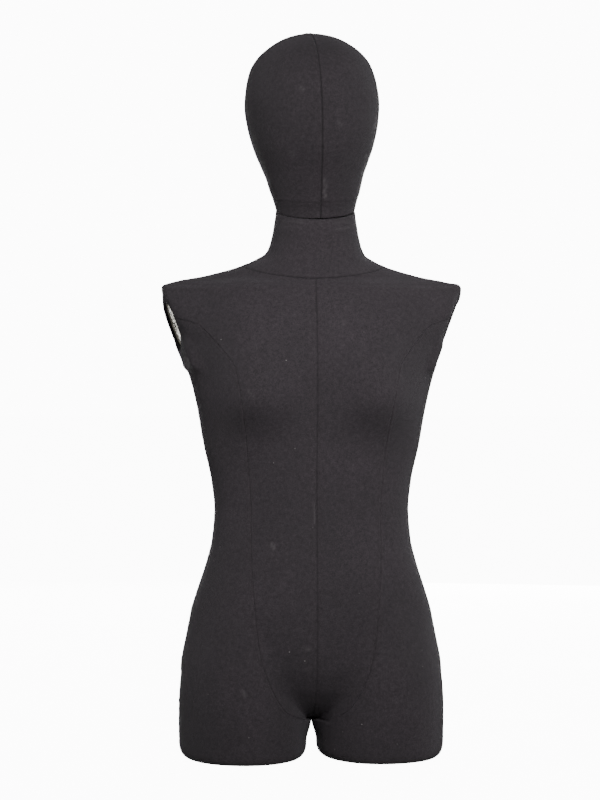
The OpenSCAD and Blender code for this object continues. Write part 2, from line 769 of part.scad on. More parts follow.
module head_base_screws() {
    color(steel_colour) head_screws_at() screw();
}

body_core(1);  // body_core_left
body_core(-1);  // body_core_right
cover_front_centre(1);  // cover_front_centre_left
cover_front_centre(-1);  // cover_front_centre_right
cover_front_side(1);  // cover_front_side_left
cover_front_side(-1);  // cover_front_side_right
cover_back_side(1);  // cover_back_side_left
cover_back_side(-1);  // cover_back_side_right
cover_back_centre(1);  // cover_back_centre_left
cover_back_centre(-1);  // cover_back_centre_right
collar_cover(1);  // collar_cover_left
collar_cover(-1);  // collar_cover_right
armhole_rim(1);  // armhole_rim_left
armhole_rim(-1);  // armhole_rim_right
arm_plate(1);  // arm_plate_left
arm_plate(-1);  // arm_plate_right
arm_plate_screws();
neck_plate();
neck_bush();
neck_plate_screws();
neck_washer();
thigh_cap(1);  // thigh_cap_left
thigh_cap(-1);  // thigh_cap_right
thigh_cap_screws();
stand_socket();
stand_socket_screws();
head_core();
head_cover(1);  // head_cover_left
head_cover(-1);  // head_cover_right
head_base_plate();
head_pin();
head_base_screws();
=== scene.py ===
"""A dress form with an egg-shaped head, covered in black stretch jersey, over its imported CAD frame."""

import math
import bpy
import numpy as np
from mathutils import Matrix, Vector


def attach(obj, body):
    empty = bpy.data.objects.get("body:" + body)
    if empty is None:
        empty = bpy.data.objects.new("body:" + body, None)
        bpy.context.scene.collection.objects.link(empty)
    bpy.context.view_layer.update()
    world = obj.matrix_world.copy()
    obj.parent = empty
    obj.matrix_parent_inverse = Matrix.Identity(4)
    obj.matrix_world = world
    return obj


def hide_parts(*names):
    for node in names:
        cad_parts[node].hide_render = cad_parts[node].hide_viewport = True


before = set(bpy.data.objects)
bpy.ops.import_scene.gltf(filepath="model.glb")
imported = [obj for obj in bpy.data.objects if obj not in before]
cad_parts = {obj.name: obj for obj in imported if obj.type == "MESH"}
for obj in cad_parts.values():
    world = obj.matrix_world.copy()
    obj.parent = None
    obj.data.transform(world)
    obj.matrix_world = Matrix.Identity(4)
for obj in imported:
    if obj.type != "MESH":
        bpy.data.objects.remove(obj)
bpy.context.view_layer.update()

# ---------------------------------------------------------------- the form's own sizes, in mm
HIP_W, WAIST_W, WAIST_Z, BUST_W = 167, 125.5, 316, 147
SHOULDER_W, SHOULDER_Z = 207, 600
NECK_R, NECK_Z, NECK_TILT, AXIS_Y = 50.6, 704, 17, -2
BUST_OUT, BUST_X, BUST_Z, SEAT_OUT = 27, 84, 462, 9
THIGH_X, THIGH_A, THIGH_B, THIGH_Y, THIGH_N, CROTCH_Z = 89, 81.5, 100, -1, 2.1, 47
ARM_SLOPE, ARM_TURN, ARM_Z, ARM_A, ARM_B, ARM_FOOT_Z = 20, 7, 556, 31, 26, 510
HEAD_W, CROWN_Z, HEAD_LEAN, HEAD_TURN, HEAD_GAP = 86.4, 932, 1.7, 3, 1.8
NECK_SHIFT, NECK_BEND = 5.5, 37  # how far the neck stands aside, and the height over which it tilts
COLLAR_Z, ARM_SEAM_Z = 631, 577  # the collar seam, and where the panels join beside the armhole
THIGH_TOP_Z, THIGH_BLEND, ARM_BLEND = 200, 13, 5  # the thigh's end, and two roundings
ON_ARM_PLANE = (191, 0, 602)
JERSEY_OUT, FOAM_IN, STRETCH = 0.8, 3.0, 1.12  # the cloth outside the sections, and the foam inside
MM = 0.001
COS_TILT = math.cos(math.radians(NECK_TILT))
# How far each breast and each buttock spreads, and where the buttock is
BUST_WIDE, BUST_ABOVE, BUST_BELOW = 47, 66, 40
SEAT_X, SEAT_Z, SEAT_WIDE, SEAT_TALL = 68, 138, 50, 52

# Torso sections: height, half width, depth to the front, to the back, exponent, widest line's depth
BODY = np.array([
    [CROTCH_Z - 6, 1, 1, 1, 2, 6],
    [CROTCH_Z, 18, 8, 10, 2, 6],
    [CROTCH_Z + 6, 60, 24, 30, 2, 6],
    [CROTCH_Z + 16, 104, 46, 54, 2.1, 6],
    [CROTCH_Z + 30, 136, 66, 78, 2.2, 6],
    [CROTCH_Z + 48, 155, 82, 96, 2.2, 6],
    [121, HIP_W - 3, 93, 106, 2.25, 6],
    [150, HIP_W - 5.5, 97, 109, 2.3, 5],
    [183, HIP_W - 11, 98, 104, 2.3, 3],
    [215, HIP_W - 20.5, 97, 93, 2.25, 1],
    [246, WAIST_W + 11, 94, 81, 2.2, -1],
    [280, WAIST_W + 2.6, 90, 73, 2.2, -3],
    [WAIST_Z, WAIST_W, 87, 72, 2.2, -4],
    [355, WAIST_W + 3.5, 88, 76, 2.2, -4],
    [402, BUST_W - 8, 91, 82, 2.25, -4],
    [448, BUST_W, 96, 86, 2.3, -4],
    [495, BUST_W + 12, 98, 89, 2.3, -2],
    [512, BUST_W + 19, 97, 90, 2.3, -1],
    [530, SHOULDER_W - 34, 94, 90, 2.25, 0],
    [558, SHOULDER_W - 13, 88, 90, 2.05, 2],
    [584, SHOULDER_W - 1, 80, 87, 1.75, 4],
    [SHOULDER_Z, SHOULDER_W - 2, 75, 85, 1.5, 5],
    [SHOULDER_Z + 9, 184, 71, 82, 1.4, 5],
    [620, 132, 68, 77, 1.4, 5],
    [628, 100, 66, 72, 1.55, 4],
    [636, 79, 63.5, 66, 1.75, 2],
    [644, 66, 60, 61, 1.9, 0],
    [652, 61, 57, 57.5, 2, -1],
    [667, 56.6, 54, 53.5, 2, -2],
    [687, 53, 52.4, 49.7, 2, -2],
    [NECK_Z, NECK_R, NECK_R * COS_TILT + 2, NECK_R * COS_TILT - 2, 2, -2],
])
# Thigh sections: height, half width and half depth
THIGH = np.array([
    [0, THIGH_A - 8.5, THIGH_B - 5.5], [2, THIGH_A - 5, THIGH_B - 3],
    [6, THIGH_A - 2.2, THIGH_B - 1], [11, THIGH_A - 0.6, THIGH_B - 0.3], [18, THIGH_A, THIGH_B],
    [60, THIGH_A + 0.5, THIGH_B + 1], [92, THIGH_A - 1, THIGH_B], [121, THIGH_A - 5, THIGH_B - 3],
    [150, THIGH_A - 14, THIGH_B - 10], [190, THIGH_A - 34, THIGH_B - 26], [206, THIGH_A - 48, THIGH_B - 42],
])
# Where a section's rays start: height, distance from the middle and depth
CENTRE = np.array([
    [0, THIGH_X, 3], [120, THIGH_X, 5], [160, 80, 5], [246, 66, -3], [WAIST_Z, 60, -6],
    [448, 72, -4], [560, 90, 1], [SHOULDER_Z, 92, 4], [620, 62, 4], [636, 40, 2],
    [652, 29, 0], [NECK_Z, 24, -2],
])
# The princess seams: height and distance from the middle, in front and at the back
PRINCESS = np.array([
    [CROTCH_Z, 4, 4], [53, 18, 16], [66, 40, 34], [101, 60, 54], [134, 71, 66], [179, 77, 74],
    [270, 82, 72], [WAIST_Z, 82, 66], [355, 84, 66], [400, 88, 72], [459, 96, 82],
    [500, 104, 92], [524, 120, 108], [545, 138, 128], [560, 152, 146],
    [590, 166, 164], [SHOULDER_Z + 4, 164, 162], [612, 122, 120],
    [620, 90, 90], [636, 55, 55], [652, 42, 42], [NECK_Z, 34, 34],
])
# Head sections: height, half width, depth to the front and to the back
HEAD = np.array([
    [NECK_Z, NECK_R, NECK_R * COS_TILT + 2, NECK_R * COS_TILT - 2],
    [NECK_Z + 9, 52.8, 53.5, 47], [NECK_Z + 18, 55.2, 58.5, 48.5], [733, 58.8, 66.5, 52.5],
    [745, 62, 76, 59], [760, 68, 87, 66], [784, 77, 99.5, 76], [815, 84.2, 108, 86],
    [838, HEAD_W, 110, 90], [862, HEAD_W - 2.4, 106, 86],
    [885, HEAD_W - 8.5, 95, 76], [901, 67.6, 81, 63], [914, 52.5, 63, 46],
    [923, 36.5, 44, 28], [929, 19, 24, 9], [CROWN_Z, 5, 8, -2],
])


def curve(table, z):
    """Every column of a table at heights z, by a cubic that never passes its stations."""
    x, y = table[:, 0], table[:, 1:]
    h = np.diff(x)[:, None]
    secant = np.diff(y, axis=0) / h
    a, b = secant[:-1], secant[1:]
    product = a * b
    middle = np.where(product > 0, 2 * product / np.where(product > 0, a + b, 1), 0)
    slope = np.vstack([secant[:1], middle, secant[-1:]])
    z = np.atleast_1d(z)
    i = np.clip(np.searchsorted(x, z, side="right") - 1, 0, len(x) - 2)
    u = np.clip((z - x[i])[:, None] / h[i], 0, 1)
    v = 1 - u
    return (
        y[i] * v * v * (1 + 2 * u) + y[i + 1] * u * u * (3 - 2 * u)
        + h[i] * u * v * (v * slope[i] - u * slope[i + 1])
    )


def ease(u):
    """From 0 to 1 without a corner, as u goes from 0 to 1."""
    u = np.clip(u, 0, 1)
    return u * u * (3 - 2 * u)


def band(x, start, full, until, end):
    """1 from full to until, easing down to 0 at start and at end."""
    return ease((x - start) / (full - start)) * (1 - ease((x - until) / (end - until)))


def blend(a, b, k):
    """The lesser of two distances, with the corner between them rounded over k."""
    h = np.maximum(k - np.abs(a - b), 0) / k
    return np.minimum(a, b) - h * h * k / 4


def bell(x, r):
    """1 at x = 0, falling away to nothing over about twice r."""
    return np.exp(-x * x / (r * r))


def oval(x, y, a, b, n):
    """The distance of a point outside an oval, measured from its centre."""
    q = (np.abs(x / a) ** n + np.abs(y / b) ** n) ** (1 / n)
    return np.where(q < 1e-3, -np.minimum(a, b), np.hypot(x, y) * (1 - 1 / np.maximum(q, 1e-3)))


def tangent(degrees):
    return np.tan(np.radians(degrees))


def breast(x, z):
    reach = np.where(z > BUST_Z, BUST_ABOVE, BUST_BELOW)
    return BUST_OUT * bell(x - BUST_X, BUST_WIDE) * bell(z - BUST_Z, reach)


def buttock(x, z):
    return SEAT_OUT * bell(x - SEAT_X, SEAT_WIDE) * bell(z - SEAT_Z, SEAT_TALL)


def plane_normal(slope, turn):
    """The way out of an armhole's plane, which faces sideways, down and a little forward."""
    level = math.cos(slope)
    return np.array([level * math.cos(turn), -level * math.sin(turn), -math.sin(slope)])


ARM_NORMAL = plane_normal(math.radians(ARM_SLOPE), math.radians(ARM_TURN))
ARM_OFFSET = ARM_NORMAL @ np.array(ON_ARM_PLANE)


def tilt_at(z):
    """The sections lie level up to the shoulders and lean forward to the neck's tilt above them."""
    return NECK_TILT * ease((z - SHOULDER_Z) / NECK_BEND)


# In degrees from the middle plane: where a princess seam enters the armhole, and the least for two seams
AT_ARM, LEAST_MIDDLE, LEAST_PRINCESS = 167, 9, 20


class Rows:
    """Sections of the half body at the heights z, which are the heights on its axis."""

    def __init__(self, z):
        self.z = np.asarray(z, float)[:, None]
        self.body, self.thigh, self.centre, self.princess = (
            [column[:, None] for column in curve(table, z).T] for table in (BODY, THIGH, CENTRE, PRINCESS)
        )

    def height(self, y):
        """The true height of a point of a section that leans."""
        return self.z + tangent(tilt_at(self.z)) * (y - AXIS_Y)

    def outside(self, x, y):
        """How far a point of each section lies outside the half body, less than zero inside it."""
        z, (w, front_d, back_d, n, mid) = self.z, self.body
        dy = y - mid
        dy = dy + ease(-dy / 45) * breast(x, z) - ease(dy / 45) * buttock(x, z)
        under = 3 * np.maximum(0, CROTCH_Z - z)
        torso = under + oval(x, dy, w, np.where(dy < 0, front_d + mid, back_d - mid), n)
        thigh = oval(x - THIGH_X, y - THIGH_Y, self.thigh[0], self.thigh[1], THIGH_N)
        body = np.where(z > THIGH_TOP_Z, torso, blend(torso, thigh, THIGH_BLEND))
        high = self.height(y)
        arm = (
            ARM_NORMAL[0] * x + ARM_NORMAL[1] * y + ARM_NORMAL[2] * high - ARM_OFFSET
            - np.maximum(0, ARM_FOOT_Z - high)
        )
        return -blend(-body, -arm, ARM_BLEND)

    def root(self, x0, y0, dx, dy, far=260.0, halvings=26):
        """How far a ray goes before it leaves the body, found by halving."""
        lo = np.zeros(np.broadcast(x0 + self.z, y0 + self.z, dx + self.z).shape)
        hi = lo + far
        for _ in range(halvings):
            m = (lo + hi) / 2
            out = self.outside(x0 + m * dx, y0 + m * dy) > 0
            hi, lo = np.where(out, m, hi), np.where(out, lo, m)
        return hi

    def angle_at(self, x, s):
        """The angle, seen from the centre, of the skin at a distance x from the middle, before or behind."""
        inside = self.outside(x, self.centre[1]) < 0
        r = np.where(inside, self.root(x, self.centre[1], 0, s), 0)
        return np.degrees(np.arctan2(r, self.centre[0] - x))

    def marks(self):
        """The angles of the middle, the seams and the side, from the front to the back."""
        # At the armhole's height the princess seams run into it
        into = band(self.z, 553, 573, 594, 608)
        front, back = (np.maximum(LEAST_MIDDLE, self.angle_at(0.0, s)) for s in (-1, 1))
        princess, back_princess = (
            np.maximum(LEAST_PRINCESS, self.angle_at(x, s)) for x, s in zip(self.princess, (-1, 1))
        )
        princess, back_princess = (a + (AT_ARM - a) * into for a in (princess, back_princess))
        zero = 0 * front
        return [zero, front, princess, 180 + zero, 360 - back_princess, 360 - back, 360 + zero]

    def points(self, angles):
        """Points of the skin, or of the middle plane where a ray meets that first."""
        a = np.radians(angles)
        dx, dy = -np.cos(a), -np.sin(a)
        x0, y0 = self.centre
        wall = np.where(dx < -1e-3, x0 / np.maximum(-dx, 1e-3), 1e3)
        r = np.minimum(wall, self.root(x0, y0, dx, dy))
        x, y = x0 + r * dx, y0 + r * dy
        return np.stack([x, y, self.height(y)], -1)


# ---------------------------------------------------------------- camera
# The picture shows 1.04 m at the form, from a little to the form's right and from between waist and bust
HEIGHT_SHOWN, HORIZON, ASIDE, AZIMUTH = 1.04, 0.459, 0.0145, math.radians(-4.5)
LENS_M, SENSOR_M = 0.097, 0.036
distance = LENS_M * HEIGHT_SHOWN / SENSOR_M
back = Vector((math.sin(AZIMUTH), -math.cos(AZIMUTH), 0))
right = Vector((math.cos(AZIMUTH), math.sin(AZIMUTH), 0))
camera = bpy.data.objects.new("camera", bpy.data.cameras.new("camera"))
camera.data.lens = LENS_M * 1000
camera.location = back * distance - right * ASIDE + Vector((0, 0, HORIZON))
camera.rotation_euler = (-back).to_track_quat("-Z", "Y").to_euler()
bpy.context.collection.objects.link(camera)
bpy.context.scene.camera = camera

# ---------------------------------------------------------------- light
SKY, SHOWN = 0.05, 12.0  # how brightly the backdrop lights the form, and how bright it looks
FLOOR_SHOWN = SHOWN - 0.3


def shown_brighter(tree, socket, lit, shown):
    """Studio white: the camera sees it brighter than it shines on the form."""
    path = tree.nodes.new("ShaderNodeLightPath")
    level = tree.nodes.new("ShaderNodeMapRange")
    level.inputs["To Min"].default_value = lit
    level.inputs["To Max"].default_value = shown
    tree.links.new(path.outputs["Is Camera Ray"], level.inputs["Value"])
    tree.links.new(level.outputs["Result"], socket)


world = bpy.data.worlds.new("studio")
world.use_nodes = True
sky = world.node_tree.nodes["Background"]
sky.inputs["Color"].default_value = (1, 1, 1, 1)
shown_brighter(world.node_tree, sky.inputs["Strength"], SKY, SHOWN)
bpy.context.scene.world = world


def area_light(name, place, size, watts, target, spread):
    light = bpy.data.lights.new(name, "AREA")
    light.shape, light.size, light.energy, light.spread = "SQUARE", size, watts, math.radians(spread)
    lamp = bpy.data.objects.new(name, light)
    lamp.location = place
    lamp.rotation_euler = (Vector(target) - Vector(place)).to_track_quat("-Z", "Y").to_euler()
    lamp.visible_camera = False
    bpy.context.collection.objects.link(lamp)


# Name, place, size, watts, the point it is aimed at, and its spread in degrees
LAMPS = (
    ("key", (0.2, -1.6, 0.95), 0.5, 6.6, (0.04, 0, 0.43), 80),
    ("top", (-0.2, -1.5, 2.2), 0.7, 20, (0, 0, 0.5), 180),
    ("back", (-0.6, 2.6, 0.75), 1.0, 24, (0, 0, 0.5), 180),
    ("far_back", (0.7, 2.5, 0.55), 1.2, 60, (0, 0, 0.45), 180),
    ("side_left", (2.7, 0.7, 0.9), 1.0, 20, (0, 0, 0.5), 180),
    ("side_right", (-2.7, 0.7, 0.9), 1.0, 20, (0, 0, 0.5), 180),
)
for lamp_values in LAMPS:
    area_light(*lamp_values)


# ---------------------------------------------------------------- materials
def material(name, colour, roughness, metallic=0.0):
    m = bpy.data.materials.new(name)
    m.use_nodes = True
    nodes, links = m.node_tree.nodes, m.node_tree.links
    shader = nodes["Principled BSDF"]
    shader.inputs["Base Color"].default_value = (*colour, 1)
    shader.inputs["Roughness"].default_value = roughness
    shader.inputs["Metallic"].default_value = metallic
    return m, nodes, links, shader


def add(nodes, kind, **values):
    """A new node, with the given values of its inputs and settings."""
    n = nodes.new("ShaderNode" + kind)
    for key, value in values.items():
        if key in n.inputs:
            n.inputs[key].default_value = value
        else:
            setattr(n, key, value)
    return n


def feed(links, socket, value):
    """Link a socket to another node's output, or give it a constant value."""
    if isinstance(value, bpy.types.NodeSocket):
        links.new(value, socket)
    else:
        socket.default_value = value


def grey(level):
    return (level, level, level, 1)


def ramp(nodes, links, source, low, high, at=(0.3, 0.7)):
    r = add(nodes, "ValToRGB")
    for element, position, colour in zip(r.color_ramp.elements, at, (low, high)):
        element.position, element.color = position, colour
    links.new(source, r.inputs["Fac"])
    return r.outputs["Color"]


def maths(nodes, links, operation, a, b, **settings):
    n = add(nodes, "Math", operation=operation, **settings)
    feed(links, n.inputs[0], a)
    feed(links, n.inputs[1], b)
    return n.outputs[0]


def layered(nodes, links, below, above, amount, **settings):
    """A colour laid over another one, by an amount."""
    mixed = add(nodes, "Mix", data_type="RGBA", **settings)
    for socket, value in (("A", below), ("B", above), ("Factor", amount)):
        feed(links, mixed.inputs[socket], value)
    return mixed.outputs["Result"]


def stretched(nodes, links, where, by):
    scale = add(nodes, "VectorMath", operation="MULTIPLY")
    links.new(where, scale.inputs[0])
    scale.inputs[1].default_value = by
    return scale.outputs[0]


def texture(nodes, links, kind, where, output="Fac", **values):
    n = add(nodes, "Tex" + kind, **values)
    links.new(where, n.inputs["Vector"])
    return n.outputs[output]


def bumped(nodes, links, height, strength, distance):
    bump = add(nodes, "Bump", Strength=strength, Distance=distance)
    links.new(height, bump.inputs["Height"])
    return bump


def jersey_colour(nodes, links, where, cloud):
    """Cloudiness, the mottle of the yarn, lint, and each point's own wear and painted seam shade."""
    tone = ramp(nodes, links, cloud, (0.022, 0.0182, 0.0211, 1), (0.031, 0.0254, 0.0295, 1))
    # The fine mottle of the yarn, and patches a few stitches wide where the cloth is more stretched
    for scale, detail, spread in ((900.0, 2.0, 0.35), (240.0, 3.0, 0.18)):
        mottle = texture(nodes, links, "Noise", where, Scale=scale, Detail=detail)
        level = ramp(nodes, links, mottle, grey(1 - spread), grey(1 + spread))
        tone = layered(nodes, links, tone, level, 1.0, blend_type="MULTIPLY")
    # Lint: sparse pale specks
    lint = texture(nodes, links, "Voronoi", where, "Distance", Scale=55.0, Randomness=1.0)
    sparse = texture(nodes, links, "Noise", where, Scale=14.0, Detail=1.0)
    speck = ramp(nodes, links, lint, grey(1), grey(0), (0.03, 0.05))
    some = ramp(nodes, links, sparse, grey(0), grey(1), (0.55, 0.6))
    tone = layered(nodes, links, tone, (0.16, 0.15, 0.15, 1), maths(nodes, links, "MULTIPLY", speck, some))
    # Wear and painted shade: paler scuffs above zero; below it, painted shade in the seams' grooves and in a
    # small dent under the chin patch
    wear_and_shade = add(nodes, "Attribute", attribute_name="wear_and_shade").outputs["Fac"]
    shade = maths(nodes, links, "MULTIPLY", wear_and_shade, -1.0, use_clamp=True)
    for colour, amount in (((0.11, 0.1, 0.105, 1), wear_and_shade), ((0.006, 0.005, 0.006, 1), shade)):
        tone = layered(nodes, links, tone, colour, amount)
    return tone


def jersey_relief(nodes, links, cloud):
    """Columns and rows of stitches that follow the cloth, on a broad unevenness."""
    uv = add(nodes, "UVMap", uv_map="cloth").outputs["UV"]
    stitches = stretched(nodes, links, uv, (1100, 800, 1))
    wale, course = (
        texture(nodes, links, "Wave", stitches, Scale=1.0, Distortion=1.5, Detail=1.0, bands_direction=way)
        for way in ("X", "Y")
    )
    knit = bumped(nodes, links, maths(nodes, links, "ADD", wale, course), 0.35, 0.0004)
    uneven = bumped(nodes, links, cloud, 0.25, 0.004)
    links.new(knit.outputs["Normal"], uneven.inputs["Normal"])
    return uneven.outputs["Normal"]


def jersey():
    m, nodes, links, shader = material("jersey", (0.032, 0.028, 0.031), 0.85)
    shader.inputs["Sheen Weight"].default_value = 0.06
    shader.inputs["Sheen Roughness"].default_value = 0.5
    shader.inputs["Sheen Tint"].default_value = (0.75, 0.72, 0.78, 1)
    shader.inputs["Specular IOR Level"].default_value = 0.25
    where = add(nodes, "TexCoord").outputs["Object"]
    cloud = texture(nodes, links, "Noise", where, Scale=9.0, Detail=3.0)
    links.new(jersey_colour(nodes, links, where, cloud), shader.inputs["Base Color"])
    links.new(jersey_relief(nodes, links, cloud), shader.inputs["Normal"])
    links.new(ramp(nodes, links, cloud, grey(0.78), grey(0.92)), shader.inputs["Roughness"])
    return m


def grained(name, dark, light, roughness, stretch, strength, *, depth=0.0005, spread=(0.85, 1.2),
            detail=6.0, distortion=0.6, metallic=0.0):
    """Wood, foam, nylon or metal: a noise stretched along the grain colours, roughens and raises it."""
    m, nodes, links, shader = material(name, light, roughness, metallic)
    where = stretched(nodes, links, add(nodes, "TexCoord").outputs["Object"], stretch)
    noise = texture(nodes, links, "Noise", where, Scale=1.0, Detail=detail, Distortion=distortion)
    smooth, rough = (grey(min(1, roughness * share)) for share in spread)
    links.new(ramp(nodes, links, noise, (*dark, 1), (*light, 1)), shader.inputs["Base Color"])
    links.new(ramp(nodes, links, noise, smooth, rough), shader.inputs["Roughness"])
    links.new(bumped(nodes, links, noise, strength, depth).outputs["Normal"], shader.inputs["Normal"])
    return m


def metal(name, colour, roughness, scratches, stretch):
    dark = [0.82 * c for c in colour]
    return grained(name, dark, colour, roughness, stretch, scratches, depth=0.0003, spread=(0.6, 1.6),
                   detail=4.0, distortion=0.0, metallic=1.0)


JERSEY = jersey()
FOAM = grained("foam", (0.5, 0.43, 0.31), (0.62, 0.55, 0.42), 0.7, (300, 300, 300), 0.3)
BLACK_BOARD = grained("black_board", (0.02, 0.019, 0.018), (0.045, 0.042, 0.04), 0.55, (30, 400, 400), 0.2)
PLYWOOD = grained("plywood", (0.2, 0.12, 0.06), (0.36, 0.24, 0.14), 0.6, (30, 400, 400), 0.25)
NYLON = grained("nylon", (0.74, 0.72, 0.67), (0.82, 0.8, 0.75), 0.4, (90, 90, 90), 0.08)
STEEL = metal("turned_steel", (0.55, 0.55, 0.56), 0.32, 0.15, (80, 80, 1500))
ARM_METAL = metal("polished_plate", (0.56, 0.53, 0.44), 0.38, 0.06, (60, 60, 900))


# ---------------------------------------------------------------- meshes
SIDES = ((1, "left"), (-1, "right"))  # the form's own left lies at x > 0


def new_piece(name, points, faces, look, body, uv=None):
    """A piece from points in mm. A row of uv is a place on the cloth, and the wear and painted shade there
    if it has three.
    """
    mesh = bpy.data.meshes.new(name)
    mesh.from_pydata((np.asarray(points) * MM).tolist(), [], faces.tolist())
    if uv is not None:
        if uv.shape[1] > 2:
            wear_and_shade = mesh.attributes.new("wear_and_shade", "FLOAT", "POINT")
            wear_and_shade.data.foreach_set("value", uv[:, 2].astype(np.float32))
        layer = mesh.uv_layers.new(name="cloth")
        corner = np.zeros(len(mesh.loops), np.int32)
        mesh.loops.foreach_get("vertex_index", corner)
        layer.data.foreach_set("uv", (np.asarray(uv)[corner, :2] * MM).ravel())
    mesh.materials.append(look)
    mesh.shade_smooth()
    piece = bpy.data.objects.new(name, mesh)
    bpy.context.collection.objects.link(piece)
    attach(piece, body)
    return piece


def grid_faces(keep, around=False):
    """Quads of a grid of points, rows up and columns anticlockwise seen from above."""
    rows, cols = keep.shape
    across = cols if around else cols + 1
    i, j = np.nonzero(keep)
    k = (j + 1) % across
    return np.stack([i * across + j, i * across + k, (i + 1) * across + k, (i + 1) * across + j], 1)


def used_only(points, faces, uv):
    """The points that the faces use, and nothing else."""
    used, index = np.unique(faces, return_inverse=True)
    return points[used], index.reshape(faces.shape), uv[used]


def lengths(points):
    """How far each point lies along its row, and up its column."""
    along = np.linalg.norm(np.diff(points, axis=1), axis=2).cumsum(1)
    up = np.linalg.norm(np.diff(points, axis=0), axis=2).cumsum(0)
    along = np.hstack([np.zeros((len(points), 1)), along])
    up = np.vstack([np.zeros((1, points.shape[1])), up])
    return along, up


def outward(points, around):
    """The direction out of a grid of points, at each one."""
    if around:
        padded = np.concatenate([points[:, -1:], points, points[:, :1]], 1)
        across = padded[:, 2:] - padded[:, :-2]
    else:
        across = np.gradient(points, axis=1)
    n = np.cross(across, np.gradient(points, axis=0))
    return n / np.maximum(np.linalg.norm(n, axis=2, keepdims=True), 1e-9)


def waves(a, b, seed, size):
    """A smooth random field of about unit height over the lengths a and b, in mm: a sum of 14 waves."""
    rng = np.random.default_rng(seed)
    total = np.zeros(np.broadcast(a, b).shape)
    for _ in range(14):
        u, v = rng.normal(0, 1 / size, 2)
        total += np.sin(u * a + v * b + rng.uniform(0, 6.3))
    return total / 3.7


def seam_relief(d, along, seed, depth=0.7):
    """The height of the cloth at distance d from a seam, at a length along it."""
    pucker = waves(along, d * 0.3, seed, 3.5) * 0.3 * depth * np.exp(-((d / 7) ** 2))
    return -depth * bell(d, 0.7) + 0.3 * depth * bell(d - 2.2, 1.2) + pucker


def twin_relief(d, along, seed):
    """A seam with a row of stitching on each side of it."""
    pucker = waves(along, d * 0.3, seed, 3.5) * 0.12 * bell(d, 7)
    return -0.75 * bell(d - 1.7, 0.6) - 0.6 * bell(d, 0.45) + pucker


# Columns of the grid between the seams, from the middle plane round by the front, side and back
SEGMENTS = (14, 40, 56, 56, 40, 14)
SEAM_COLUMN = [int(v) for v in np.concatenate([[0], np.cumsum(SEGMENTS)])]
c_front, c_princess, c_side, c_back_princess, c_back = SEAM_COLUMN[1:6]


def body_rows():
    """The heights of the rows, closer together at the hem, the crotch, the shoulders and the neck."""
    return np.unique(np.concatenate([
        np.linspace(1.2, 18, 14), np.arange(21, CROTCH_Z - 2, 3.0), np.arange(CROTCH_Z - 2, 80, 1.5),
        np.arange(80, 585, 3.0), np.arange(585, COLLAR_Z, 1.0), np.arange(COLLAR_Z, 700, 2.0),
        [NECK_Z - 1.5, NECK_Z - 0.4, ARM_SEAM_Z],
    ]))


def column_angles(marks):
    """The columns of every segment, closer together towards its seams."""
    parts = []
    for n, a, b in zip(SEGMENTS, marks[:-1], marks[1:]):
        u = (1 - np.cos(np.pi * np.arange(n) / n)) / 2
        parts.append(a + (b - a) * u)
    return np.hstack(parts)


Z = body_rows()
section = Rows(Z)
BODY_GRID = section.points(column_angles(section.marks()))
BODY_OUT = outward(BODY_GRID, True)
# On the middle plane the direction out keeps to that plane
for seam, beside in ((c_front, c_front + 1), (c_back, c_back - 1)):
    level = BODY_OUT[:, beside] * [0, 1, 1]
    level /= np.linalg.norm(level, axis=1, keepdims=True)
    BODY_OUT[:, seam] = np.where(Z[:, None] > CROTCH_Z, level, BODY_OUT[:, seam])
ALONG, UP = lengths(BODY_GRID)


def seam_distance(column):
    """How far each point lies from a column, along its own row."""
    return np.abs(ALONG - ALONG[:, [column % BODY_GRID.shape[1]]])


def armhole_frame():
    """The armhole's centre, with x down the hole, y to the back and z out of it."""
    x = (ARM_OFFSET - ARM_NORMAL[2] * ARM_Z) / ARM_NORMAL[0]
    return (
        Matrix.Translation((x, 0, ARM_Z))
        @ Matrix.Rotation(math.radians(-ARM_TURN), 4, "Z")
        @ Matrix.Rotation(math.radians(90 + ARM_SLOPE), 4, "Y")
    )


def moved(matrix, points):
    """The points of an array of any shape, carried by a matrix."""
    m = np.array(matrix)
    return points @ m[:3, :3].T + m[:3, 3]


BEAD_W, BEAD_H, PRESSED = 5.5, 6.6, 0.36
FAR = 999  # for points that aren't beside the armhole


def bead_height(across):
    """The bead is pressed flatter on its front side, by the share PRESSED."""
    return BEAD_H * (1 - PRESSED * ease(-across / 18))


ARMHOLE = armhole_frame()
LOCAL = moved(ARMHOLE.inverted(), BODY_GRID)
# How far each point lies outside the armhole's bead, in mm
RIM = np.hypot(np.maximum(np.abs(LOCAL[..., 0]) - (ARM_A - ARM_B), 0), LOCAL[..., 1]) - (ARM_B + BEAD_W / 2)
RIM = np.where(np.abs(LOCAL[..., 2]) < 30, RIM, FAR)


def softened(field, times):
    """The field spread over its neighbours on the grid."""
    for _ in range(times):
        up_down = np.concatenate([field[:1], field[:-1]]) + np.concatenate([field[1:], field[-1:]])
        field = (2 * field + up_down + np.roll(field, 1, 1) + np.roll(field, -1, 1)) / 6
    return field


def painted_shade_by_seam(d, width=0.9):
    """Painted shade in a seam's groove: how much darker the cloth is at distance d from a seam."""
    return -bell(d, width)


# The cloth's relief: the faint unevenness of stretched jersey, the seams, and the swell at the bead
rows_up = Z[:, None] + 0 * ALONG
below, on_arm = rows_up < CROTCH_Z, rows_up >= ARM_SEAM_Z
UNEVEN, UNEVEN_SIZE = 0.18, 26
relief = JERSEY_OUT + UNEVEN * waves(ALONG, rows_up, 5, UNEVEN_SIZE)
# The shade painted into the cloth's colour along the seams, in their grooves
body_painted_shade = 0 * relief
